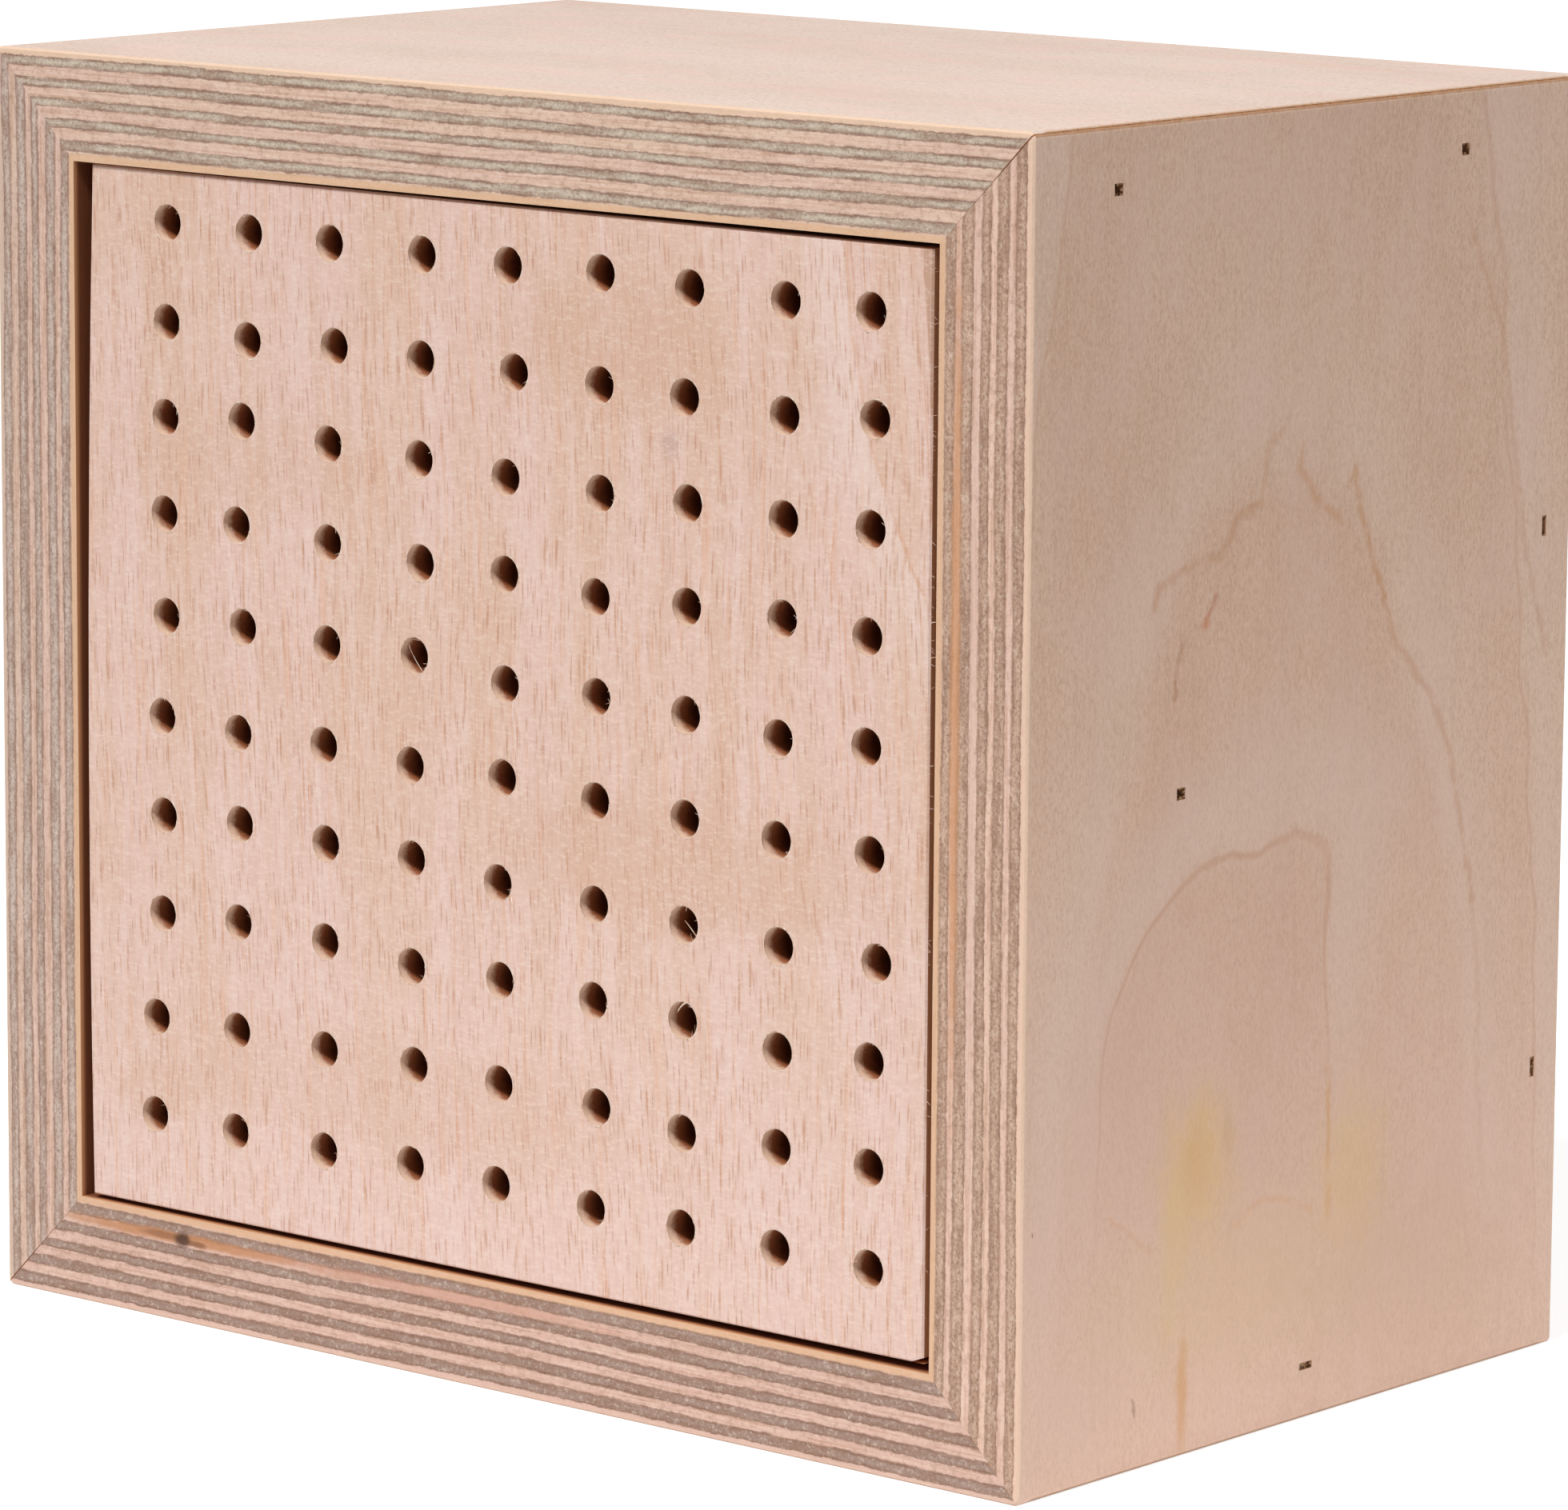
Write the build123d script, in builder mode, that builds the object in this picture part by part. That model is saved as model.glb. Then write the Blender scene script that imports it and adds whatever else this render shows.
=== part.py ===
from build123d import *
import os

os.makedirs("parts", exist_ok=True)

# Bee hotel: a mitred box of birch plywood, open at the front, that holds one drilled beech block.
# The origin is the middle of the base. The front faces -Y, +Z is up, and +X is the right-hand side.

# The box: four mitred boards with their sawn edges to the front
hotel_width = 184.0
hotel_height = 176.0
hotel_depth = 118.0
board = 15.0                 # eleven-ply birch
corner_radius = 1.0          # long outer corners, rounded with sandpaper
edge_ease = 0.3              # outer edges round the front and the back
open_mitre = 0.3             # two joints gape this much at their outer ends

# The board let in behind the block, flush with the back edges of the box
back_board = 12.0
back_clearance = 0.2         # at its sides and its top: it stands on the bottom board

# The nest block and the gaps that its sawn edges leave in the box
block_setback = 0.5          # behind the front edges of the boards
block_gap_above_left = 0.2
block_gap_above_right = 0.8
block_gap_below_left = 0.6
block_gap_below_right = 1.0
block_gap_right = 1.4
block_gap_left_top = 3.0
block_gap_left_middle = 1.4  # the left edge bows out towards the board
block_gap_left_bottom = 1.8
block_ease = 0.25
block_splinter_width = 2.1   # torn out at its lower right corner
block_splinter_height = 0.8
block_splinter_depth = 7.0

# The nests: blind holes, drilled freehand along pencilled rows
nest_radius = 2.5
nest_depth = 90.0
nest_columns = 9
nest_rows = 10
column_pitch = 16.0
row_pitch = 13.8
first_column_in = 16.8       # from the left side of the opening, along the top row
first_row_down = 7.2         # from the top of the opening, at the left end of the row
# how far each column starts from its even place, and how far it drifts left from row to row
column_shift = (0.8, 0.2, -0.8, 0.1, -0.5, -0.2, -0.8, -0.5, -2.3)
column_drift = (0.32, 0.37, 0.17, 0.29, 0.19, 0.14, 0.09, 0.09, -0.09)
# how far each row starts above its even place, and how far it falls from column to column
row_shift = (-0.1, 0.0, 0.7, 1.1, 1.3, 0.4, 1.6, 1.4, -0.2, -0.8)
row_fall = (0.28, 0.37, 0.49, 0.51, 0.62, 0.47, 0.72, 0.52, 0.34, 0.21)
# holes where the drill wandered most, by row and column from the top left: to the right, and up
nest_wander = {
    (0, 5): (0.0, 0.5),
    (1, 1): (0.0, -0.9),
    (1, 2): (1.0, 0.0),
    (1, 4): (1.3, 0.0),
    (1, 6): (-0.7, 0.0),
    (1, 7): (0.0, -0.5),
    (1, 8): (0.7, 0.7),
    (2, 1): (-0.8, 1.2),
    (2, 4): (0.0, -0.5),
    (2, 5): (0.3, -0.6),
    (2, 8): (0.0, 0.6),
    (3, 1): (-1.5, 0.3),
    (3, 3): (0.5, -0.5),
    (3, 5): (-0.3, -0.9),
    (3, 7): (0.0, 0.6),
    (3, 8): (-0.5, 0.3),
    (4, 0): (0.6, -0.6),
    (4, 3): (-0.3, 0.7),
    (4, 4): (0.3, -0.7),
    (4, 7): (-0.5, -0.7),
    (4, 8): (-0.6, 0.5),
    (5, 1): (-0.6, -0.2),
    (5, 2): (-0.5, 0.4),
    (5, 3): (-0.8, 0.0),
    (5, 4): (0.0, 0.7),
    (5, 7): (-0.6, -0.4),
    (6, 0): (0.5, -1.3),
    (6, 3): (-0.3, 0.6),
    (6, 4): (-0.6, 0.0),
    (6, 8): (1.2, 0.7),
    (7, 0): (0.5, -1.1),
    (7, 3): (0.0, -0.8),
    (7, 7): (0.0, -1.3),
    (8, 0): (-0.5, -0.5),
    (8, 3): (0.7, 0.5),
    (8, 4): (0.0, 0.5),
    (8, 5): (0.8, 0.2),
    (8, 6): (0.0, -0.8),
    (9, 0): (-0.6, 0.0),
    (9, 3): (0.3, 0.7),
    (9, 4): (-0.3, 0.5),
}

# Pins: stubby-headed brads, driven well below the surface
pin_head_along = 1.8
pin_head_up = 1.6
pin_head_height = 1.0
pin_shank = 1.2
pin_length = 30.0
pin_sink = 1.2
corner_pin_down = 8.4        # from the top of the box
corner_pin_front = 17.2      # from the front of the box
corner_pin_rear = 26.0       # from the back of the box
block_pin_front = 31.9       # from the front of the box
block_pin_row = 5            # it passes above this row of nests

# Flat brads, with an oblong head
brad_head_width = 2.8
brad_head_thickness = 1.0
brad_head_height = 0.8
brad_shank = 0.7
brad_length = 28.0
brad_sink = 0.6
lower_brad_up = 7.3          # from the base
lower_brad_front = 61.0      # from the front of the box
back_brad_low = 40.0         # from the base
back_brad_high = 115.0

# The torn corner of the right-hand board, at the top of its back edge
tear_depth = 1.4             # one ply, measured into the board
tear_length = 10.0
tear_width = 2.0
broken_corner_depth = 4.5
broken_corner_length = 2.6
broken_corner_width = 1.8

# Planes that the pieces are laid out on
front = Plane.XZ.offset(hotel_depth / 2)
block_face = Plane.XZ.offset(hotel_depth / 2 - block_setback)
back_board_face = Plane.XZ.offset(back_board - hotel_depth / 2)
right_side = Plane.YZ.offset(hotel_width / 2)
left_side = Plane(origin=(-hotel_width / 2, 0, 0), x_dir=(0, 1, 0), z_dir=(-1, 0, 0))

opening_width = hotel_width - 2 * board
opening_height = hotel_height - 2 * board
opening_left = -opening_width / 2
opening_right = opening_width / 2
opening_bottom = board
opening_top = hotel_height - board
block_depth = hotel_depth - block_setback - back_board


def nest_place(row, column):
    """Where a nest is drilled: its distance from the middle of the box, and its height."""
    wander_right, wander_up = nest_wander.get((row, column), (0.0, 0.0))
    even_x = opening_left + first_column_in + column_pitch * column
    even_z = opening_top - first_row_down - row_pitch * row
    x = even_x + column_shift[column] - column_drift[column] * row + wander_right
    z = even_z + row_shift[row] - row_fall[row] * column + wander_up
    return x, z


def beside_nests(column):
    """A height halfway between two nests at one end of their rows, where a brad misses both."""
    upper = nest_place(block_pin_row - 1, column)[1]
    lower = nest_place(block_pin_row, column)[1]
    return (upper + lower) / 2


# Where the brads go in, on both sides: distance behind the middle of the box, and height
front_y = -hotel_depth / 2
back_y = hotel_depth / 2
back_board_middle = back_y - back_board / 2
corner_spots = [
    (front_y + corner_pin_front, hotel_height - corner_pin_down),
    (back_y - corner_pin_rear, hotel_height - corner_pin_down),
]
right_block_spots = [(front_y + block_pin_front, beside_nests(nest_columns - 1))]
left_block_spots = [(front_y + block_pin_front, beside_nests(0))]
lower_spots = [(front_y + lower_brad_front, lower_brad_up)]
back_spots = [(back_board_middle, back_brad_low), (back_board_middle, back_brad_high)]


def on_left(spots):
    """The same places, as the left side's plane counts them: its own up points down."""
    return [(along, -height) for along, height in spots]


def driven_bar(along, up, length):
    """A straight bar that starts at the plane in use and runs into the wood."""
    Box(along, up, length, align=(Align.CENTER, Align.CENTER, Align.MAX))


def drive_pins(side, spots):
    """Pins driven square to a side of the box."""
    with Locations(side.offset(-pin_sink)):
        with Locations(*spots):
            driven_bar(pin_head_along, pin_head_up, pin_head_height)
            driven_bar(pin_shank, pin_shank, pin_length)


def drive_brads(side, spots, head_along, head_up):
    """Flat brads driven square to a side of the box, their heads lying along it or upright."""
    with Locations(side.offset(-brad_sink)):
        with Locations(*spots):
            driven_bar(head_along, head_up, brad_head_height)
            driven_bar(brad_shank, brad_shank, brad_length)


with BuildPart() as upper_corner_brads:
    drive_pins(right_side, corner_spots)
    drive_pins(left_side, on_left(corner_spots))

with BuildPart() as block_brads:
    drive_pins(right_side, right_block_spots)
    drive_pins(left_side, on_left(left_block_spots))

with BuildPart() as lower_corner_brads:
    drive_brads(right_side, lower_spots, brad_head_width, brad_head_thickness)
    drive_brads(left_side, on_left(lower_spots), brad_head_width, brad_head_thickness)

with BuildPart() as back_brads:
    drive_brads(right_side, back_spots, brad_head_thickness, brad_head_width)
    drive_brads(left_side, on_left(back_spots), brad_head_thickness, brad_head_width)


def sink_pockets(side, pins, lying_brads, upright_brads):
    """The pockets that the driver leaves above the heads, on one side of the box."""
    with Locations(side):
        with Locations(*pins):
            driven_bar(pin_head_along, pin_head_up, pin_sink)
        with Locations(*lying_brads):
            driven_bar(brad_head_width, brad_head_thickness, brad_sink)
        with Locations(*upright_brads):
            driven_bar(brad_head_thickness, brad_head_width, brad_sink)


with BuildPart() as brad_pockets:
    sink_pockets(right_side, corner_spots + right_block_spots, lower_spots, back_spots)
    left_pin_spots = on_left(corner_spots + left_block_spots)
    sink_pockets(left_side, left_pin_spots, on_left(lower_spots), on_left(back_spots))

# The four boards before they are cut apart at their mitres
with BuildPart() as box_ring:
    with BuildSketch(front):
        with Locations((0, hotel_height / 2)):
            RectangleRounded(hotel_width, hotel_height, corner_radius)
            Rectangle(opening_width, opening_height, mode=Mode.SUBTRACT)
    extrude(amount=-hotel_depth)
    end_faces = box_ring.faces().filter_by(Axis.Y)
    outer_edges = [edge for face in end_faces for edge in face.outer_wire().edges()]
    chamfer(outer_edges, length=edge_ease)


def cut_board(outer_start, outer_end, inner_end, inner_start):
    """One board of the ring, between the mitres that run from its outer to its inner corners."""
    with BuildSketch(front) as outline:
        with BuildLine():
            Polyline(outer_start, outer_end, inner_end, inner_start, close=True)
        make_face()
    extrude(outline.sketch, amount=-hotel_depth, mode=Mode.INTERSECT)


outer_left = -hotel_width / 2
outer_right = hotel_width / 2

with BuildPart() as top_panel:
    add(box_ring.part)
    cut_board(
        (outer_left, hotel_height),
        (outer_right, hotel_height),
        (opening_right, opening_top),
        (opening_left, opening_top),
    )
    add(upper_corner_brads.part, mode=Mode.SUBTRACT)

with BuildPart() as bottom_panel:
    add(box_ring.part)
    cut_board(
        (outer_left, 0),
        (outer_right, 0),
        (opening_right, opening_bottom),
        (opening_left, opening_bottom),
    )
    add(lower_corner_brads.part, mode=Mode.SUBTRACT)

with BuildPart() as left_panel:
    add(box_ring.part)
    cut_board(
        (outer_left, open_mitre),
        (outer_left, hotel_height),
        (opening_left, opening_top),
        (opening_left, opening_bottom),
    )
    add(brad_pockets.part, mode=Mode.SUBTRACT)
    for brads in (upper_corner_brads, block_brads, lower_corner_brads, back_brads):
        add(brads.part, mode=Mode.SUBTRACT)

with BuildPart() as right_panel:
    add(box_ring.part)
    cut_board(
        (outer_right, 0),
        (outer_right, hotel_height - open_mitre),
        (opening_right, opening_top),
        (opening_right, opening_bottom),
    )
    add(brad_pockets.part, mode=Mode.SUBTRACT)
    for brads in (upper_corner_brads, block_brads, lower_corner_brads, back_brads):
        add(brads.part, mode=Mode.SUBTRACT)
    # the outer veneer is torn away down the back edge
    with BuildSketch(right_side):
        with BuildLine():
            Polyline(
                (hotel_depth / 2, hotel_height),
                (hotel_depth / 2 - tear_width, hotel_height),
                (hotel_depth / 2, hotel_height - tear_length),
                close=True,
            )
        make_face()
    extrude(amount=-tear_depth, mode=Mode.SUBTRACT)
    # and the corner itself is broken off, deeper into the board
    with BuildSketch(right_side):
        with BuildLine():
            Polyline(
                (hotel_depth / 2, hotel_height),
                (hotel_depth / 2 - broken_corner_width, hotel_height),
                (hotel_depth / 2, hotel_height - broken_corner_length),
                close=True,
            )
        make_face()
    extrude(amount=-broken_corner_depth, mode=Mode.SUBTRACT)

# The back board, let in between the other four
with BuildPart() as back_panel:
    with BuildSketch(back_board_face):
        with Locations((0, opening_bottom)):
            Rectangle(
                opening_width - 2 * back_clearance,
                opening_height - back_clearance,
                align=(Align.CENTER, Align.MIN),
            )
    extrude(amount=-back_board)
    add(back_brads.part, mode=Mode.SUBTRACT)

# The nest block: sawn a little out of square, drilled, and chipped at one corner
block_right = opening_right - block_gap_right
block_low_right = opening_bottom + block_gap_below_right

with BuildPart() as nest_block:
    with BuildSketch(block_face):
        with BuildLine():
            sawn_edges = Polyline(
                (opening_left + block_gap_left_bottom, opening_bottom + block_gap_below_left),
                (block_right, block_low_right),
                (block_right, opening_top - block_gap_above_right),
                (opening_left + block_gap_left_top, opening_top - block_gap_above_left),
            )
            ThreePointArc(
                sawn_edges @ 1,
                (opening_left + block_gap_left_middle, hotel_height / 2),
                sawn_edges @ 0,
            )
        make_face()
    extrude(amount=-block_depth)
    front_edges = nest_block.faces().filter_by(Axis.Y).sort_by(Axis.Y)[0].outer_wire().edges()
    chamfer(front_edges, length=block_ease)
    # a splinter torn out along the grain
    with BuildSketch(block_face):
        with BuildLine():
            Polyline(
                (block_right, block_low_right),
                (block_right, block_low_right + block_splinter_height),
                (block_right - block_splinter_width, block_low_right),
                close=True,
            )
        make_face()
    extrude(amount=-block_splinter_depth, mode=Mode.SUBTRACT)
    nest_places = [
        nest_place(row, column) for row in range(nest_rows) for column in range(nest_columns)
    ]
    with Locations(block_face):
        with Locations(*nest_places):
            Hole(radius=nest_radius, depth=nest_depth)
    add(block_brads.part, mode=Mode.SUBTRACT)

top_panel.part.label = "top_panel"
bottom_panel.part.label = "bottom_panel"
left_panel.part.label = "left_panel"
right_panel.part.label = "right_panel"
back_panel.part.label = "back_panel"
nest_block.part.label = "nest_block"
upper_corner_brads.part.label = "upper_corner_brads"
lower_corner_brads.part.label = "lower_corner_brads"
block_brads.part.label = "block_brads"
back_brads.part.label = "back_brads"

for piece in (
    top_panel,
    bottom_panel,
    left_panel,
    right_panel,
    back_panel,
    nest_block,
    upper_corner_brads,
    lower_corner_brads,
    block_brads,
    back_brads,
):
    export_step(piece.part, f"parts/{piece.part.label}.step")
    print(piece.part.label, len(piece.part.solids()), "solids", round(piece.part.volume), "mm3")
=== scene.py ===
# %% [markdown]
# # A bee hotel
# The object is a mitred box of birch plywood with one drilled beech block in it.
# Its boards, block and brads are already made as solids. What they lack is wood: the stripes of the plies on the
# sawn edges, the quiet figure of the veneer, the flecks of beech, and the fibres that a drill and a saw leave.
# All of it is painted by nodes, and the fibres are small pieces of their own.

import math
import random

import bmesh
import bpy
from mathutils import Matrix, Vector, noise


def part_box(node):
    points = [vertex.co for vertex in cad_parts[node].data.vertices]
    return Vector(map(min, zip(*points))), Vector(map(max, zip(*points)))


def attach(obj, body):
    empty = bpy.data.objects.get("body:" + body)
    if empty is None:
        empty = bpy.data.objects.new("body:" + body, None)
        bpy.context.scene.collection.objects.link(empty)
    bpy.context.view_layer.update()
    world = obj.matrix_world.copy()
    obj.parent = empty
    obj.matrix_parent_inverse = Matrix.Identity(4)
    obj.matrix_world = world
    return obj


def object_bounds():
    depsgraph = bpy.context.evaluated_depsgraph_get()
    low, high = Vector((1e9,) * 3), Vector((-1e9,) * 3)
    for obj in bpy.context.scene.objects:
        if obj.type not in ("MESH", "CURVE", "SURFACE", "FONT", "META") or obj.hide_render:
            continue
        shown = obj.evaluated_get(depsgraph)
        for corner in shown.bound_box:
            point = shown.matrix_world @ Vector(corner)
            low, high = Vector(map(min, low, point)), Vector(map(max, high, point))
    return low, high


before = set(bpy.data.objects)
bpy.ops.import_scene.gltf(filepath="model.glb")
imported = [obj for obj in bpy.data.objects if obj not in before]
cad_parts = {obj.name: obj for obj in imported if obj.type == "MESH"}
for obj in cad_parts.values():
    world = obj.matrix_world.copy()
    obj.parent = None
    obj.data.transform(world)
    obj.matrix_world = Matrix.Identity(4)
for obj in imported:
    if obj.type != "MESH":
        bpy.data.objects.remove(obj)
solid_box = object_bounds()
print("nodes:", sorted(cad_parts))

# %% [markdown]
# The camera stands where the photographer stood: to the right of the box and a little above it, far away, with a
# long lens. Such a view is nearly parallel, so the turn and the height of the camera have to be right to a
# fraction of a degree. It is turned here from three plain numbers.

# %% Camera
MM = 0.001
turned_left = math.radians(40.263)
tipped_down = math.radians(9.731)
rolled = math.radians(0.377)
standing_at = Vector((716.6, -843.8, 269.3)) * MM

ahead = Vector((
    -math.sin(turned_left) * math.cos(tipped_down),
    math.cos(turned_left) * math.cos(tipped_down),
    -math.sin(tipped_down),
))
level_right = Vector((math.cos(turned_left), math.sin(turned_left), 0))
level_up = level_right.cross(ahead)
to_right = math.cos(rolled) * level_right + math.sin(rolled) * level_up
upward = -math.sin(rolled) * level_right + math.cos(rolled) * level_up

camera = bpy.data.objects.new("camera", bpy.data.cameras.new("camera"))
camera.data.lens = 185.782
camera.data.sensor_width = 36
camera.data.clip_start = 0.05
turn = Matrix((to_right, upward, -ahead)).transposed().to_4x4()
camera.matrix_world = Matrix.Translation(standing_at) @ turn
bpy.context.scene.collection.objects.link(camera)
bpy.context.scene.camera = camera
bpy.context.scene.view_settings.view_transform = "Standard"
print("camera is", round(camera.matrix_world.translation.length, 3), "m from the middle of the base")

# %% [markdown]
# Every finish below is a tree of nodes. Making one by hand takes many clicks, so a few short helpers do the
# clicking: one adds a node and plugs in its inputs, the others add the kinds that wood needs most. Sizes in the
# trees are millimetres, because a carpenter thinks of a ply or a fibre in millimetres.

# %% Helpers for the node trees
def plug(tree, value, socket):
    """Puts a number, a colour or another node's output into an input."""
    if isinstance(value, bpy.types.NodeSocket):
        tree.links.new(value, socket)
    elif value is not None:
        socket.default_value = value


def add_node(tree, kind, *values, **settings):
    """Adds a node, sets its options and fills its inputs in their order."""
    made = tree.nodes.new("ShaderNode" + kind)
    for name, choice in settings.items():
        setattr(made, name, choice)
    for value, socket in zip(values, made.inputs):
        plug(tree, value, socket)
    return made


def sums(tree, operation, *values):
    """One step of arithmetic."""
    return add_node(tree, "Math", *values, operation=operation).outputs[0]


def times(tree, first, second):
    return sums(tree, "MULTIPLY", first, second)


def plus(tree, first, second):
    return sums(tree, "ADD", first, second)


def minus(tree, first, second):
    return sums(tree, "SUBTRACT", first, second)


def vectors(tree, operation, *values):
    """One step of arithmetic on places or sizes, which have three numbers each."""
    return add_node(tree, "VectorMath", *values, operation=operation).outputs[0]


def fade(tree, value, start, end, low=0.0, high=1.0):
    """A soft step from low to high while value goes from start to end."""
    return add_node(tree, "MapRange", value, start, end, low, high, interpolation_type="SMOOTHSTEP").outputs[0]


def speckle(tree, place, size, detail, rough):
    """Noise from about 0 to 1. size is how many blotches there are to a millimetre."""
    made = add_node(tree, "TexNoise")
    for name, value in (("Vector", place), ("Scale", size), ("Detail", detail), ("Roughness", rough)):
        plug(tree, value, made.inputs[name])
    return made.outputs["Fac"]


def point(tree, across, up, along):
    """A place from its three numbers."""
    return add_node(tree, "CombineXYZ", across, up, along).outputs[0]


def paint(red, green, blue):
    """A colour as a paint program gives it, from 0 to 255, for a node that wants it linear."""
    shades = [c / 255 / 12.92 if c <= 10 else ((c / 255 + 0.055) / 1.055) ** 2.4 for c in (red, green, blue)]
    return (*shades, 1.0)


def lay_over(tree, amount, under, over):
    """Lays one colour over another, by an amount from 0 to 1."""
    made = add_node(tree, "Mix", data_type="RGBA")      # its inputs 6 and 7 are the two colours
    for socket, value in ((made.inputs[0], amount), (made.inputs[6], under), (made.inputs[7], over)):
        plug(tree, value, socket)
    return made.outputs[2]


def wash(tree, color, mask, strength, over):
    """Lays another colour over one where a mask is 1, no more than by a strength."""
    return lay_over(tree, times(tree, mask, strength), color, over)


def streaky(tree, place, squeeze, detail, rough):
    """Noise that is squeezed by its own amount in each direction, which stretches it in the others."""
    return speckle(tree, vectors(tree, "MULTIPLY", place, squeeze), 1.0, detail, rough)


def new_group(name, inputs, outputs):
    """An empty group of nodes with named sockets. Each is given as its name and its kind."""
    group = bpy.data.node_groups.new(name, "ShaderNodeTree")
    for in_out, sockets in (("INPUT", inputs), ("OUTPUT", outputs)):
        for label, kind in sockets:
            group.interface.new_socket(name=label, in_out=in_out, socket_type="NodeSocket" + kind)
    source = group.nodes.new("NodeGroupInput").outputs
    result = group.nodes.new("NodeGroupOutput").inputs
    return group, source, result


def use_group(tree, group, **values):
    """Places a group in a tree and plugs in its inputs by name."""
    made = tree.nodes.new("ShaderNodeGroup")
    made.node_tree = group
    for label, value in values.items():
        plug(tree, value, made.inputs[label.replace("_", " ")])
    return made.outputs


print("helpers ready")

# %% [markdown]
# **Wood grain.** A board's fibres run one way, so its grain is noise that is squeezed hard across the fibres and
# hardly at all along them. One group makes two layers: fine fibres, and the slow clouds of colour that lie in any
# veneer. Each wood places the group with the grain along the third direction of its own.

# %% The grain group
grain, given, result = new_group(
    "wood grain", [("Place", "Vector"), ("Fineness", "Float")], [("Fibres", "Float"), ("Clouds", "Float")]
)
fine_place = add_node(grain, "VectorMath", given["Place"], operation="SCALE")
plug(grain, given["Fineness"], fine_place.inputs["Scale"])
hair = streaky(grain, fine_place.outputs[0], (3.0, 3.0, 0.22), 3.0, 0.65)
thread = streaky(grain, fine_place.outputs[0], (0.8, 0.8, 0.05), 2.0, 0.5)
plug(grain, plus(grain, times(grain, hair, 0.6), times(grain, thread, 0.4)), result["Fibres"])
plug(grain, streaky(grain, given["Place"], (0.05, 0.05, 0.022), 3.0, 0.55), result["Clouds"])
print("group:", grain.name)

# %% [markdown]
# **Worn edges.** Sanded corners of plywood are paler and rounder than its faces. How close a point is to an edge
# of the box follows from its place alone: it is near two faces at once. So the group takes the distances to the
# three nearest faces and keeps the second smallest.

# %% The worn-edge group
half_wide, half_deep, half_high = ((high - low) / 2 / MM for low, high in zip(*solid_box))
worn, given, result = new_group("worn edge", [("Place", "Vector")], [("Mask", "Float")])
parts = add_node(worn, "SeparateXYZ", given["Place"]).outputs
from_side = minus(worn, half_wide, sums(worn, "ABSOLUTE", parts[0]))
from_front = minus(worn, half_deep, sums(worn, "ABSOLUTE", parts[1]))
from_top = minus(worn, half_high, sums(worn, "ABSOLUTE", minus(worn, parts[2], half_high)))
nearest_two = sums(worn, "MINIMUM", sums(worn, "MAXIMUM", from_side, from_front), from_top)
second = sums(worn, "MAXIMUM", sums(worn, "MINIMUM", from_side, from_front), nearest_two)
ragged = times(worn, speckle(worn, given["Place"], 0.7, 3.0, 0.6), 1.6)
plug(worn, fade(worn, plus(worn, second, ragged), 1.9, 0.7), result["Mask"])
print("group:", worn.name, "for a box in mm of", [round(2 * half) for half in (half_wide, half_deep, half_high)])

# %% [markdown]
# **The plies.** Eleven sheets of veneer, each turned a quarter against the last. On a sawn edge every second one
# shows its end grain, grey and speckled with pores, and the others show long pinkish fibres. Thin brown glue
# lines part them, and none is quite straight. Depth into the board, in millimetres, tells which ply a point is in:
# the plies repeat, so the remainder after dividing by their pitch says where in the pair it lies.

# %% The ply group
BOARD_THICK = 15.0
PLY_PITCH = 2.86        # one grey ply and one pale one
FIRST_VENEER = 1.0

plies, given, result = new_group(
    "ply layers",
    [
        ("Place", "Vector"),
        ("Board", "Float"),
        ("Grey Width", "Float"),
        ("Grey", "Color"),
        ("Dots", "Float"),
        ("Glue", "Float"),
        ("Pale", "Color"),
        ("Outer", "Color"),
    ],
    [("Color", "Color"), ("Height", "Float")],
)
# the place has the board's length first, then the depth of the box, then the depth into the board
parts = add_node(plies, "SeparateXYZ", given["Place"]).outputs
shifted = vectors(plies, "ADD", given["Place"], point(plies, given["Board"], given["Board"], 0.0))
waves = streaky(plies, shifted, (0.020, 0.05, 0.10), 2.0, 0.5)
ripples = streaky(plies, shifted, (0.60, 0.3, 0.9), 4.0, 0.8)
sway = plus(plies, times(plies, minus(plies, waves, 0.5), 1.3), times(plies, minus(plies, ripples, 0.5), 0.78))
depth = minus(plies, plus(plies, parts[2], sway), FIRST_VENEER)
pair = sums(plies, "FLOOR", sums(plies, "DIVIDE", depth, PLY_PITCH))
within = minus(plies, depth, times(plies, pair, PLY_PITCH))
pressed = add_node(plies, "TexWhiteNoise", noise_dimensions="1D")
plug(plies, plus(plies, pair, given["Board"]), pressed.inputs["W"])
grey_ply = plus(plies, given["Grey Width"], times(plies, minus(plies, pressed.outputs["Value"], 0.5), 0.40))
past_grey = minus(plies, within, grey_ply)
is_pale = fade(plies, past_grey, -0.17, 0.17)
to_glue = sums(
    plies,
    "MINIMUM",
    sums(plies, "ABSOLUTE", past_grey),
    sums(plies, "MINIMUM", within, minus(plies, PLY_PITCH, within)),
)
glue_patchy = streaky(plies, shifted, (0.16, 0.2, 0.9), 3.0, 0.65)
glue_wide = fade(plies, glue_patchy, 0.32, 0.72, 0.12, 0.38)
glue = times(plies, fade(plies, to_glue, glue_wide, 0.02), fade(plies, glue_patchy, 0.30, 0.62, 0.30, 1.0))
# each ply comes from another log, so it gets a shade of its own
ply_number = plus(plies, times(plies, pair, 2.0), sums(plies, "GREATER_THAN", past_grey, 0.0))
log = add_node(plies, "TexWhiteNoise", noise_dimensions="1D")
plug(plies, plus(plies, times(plies, ply_number, 1.37), given["Board"]), log.inputs["W"])
log_shade = log.outputs["Value"]
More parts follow.
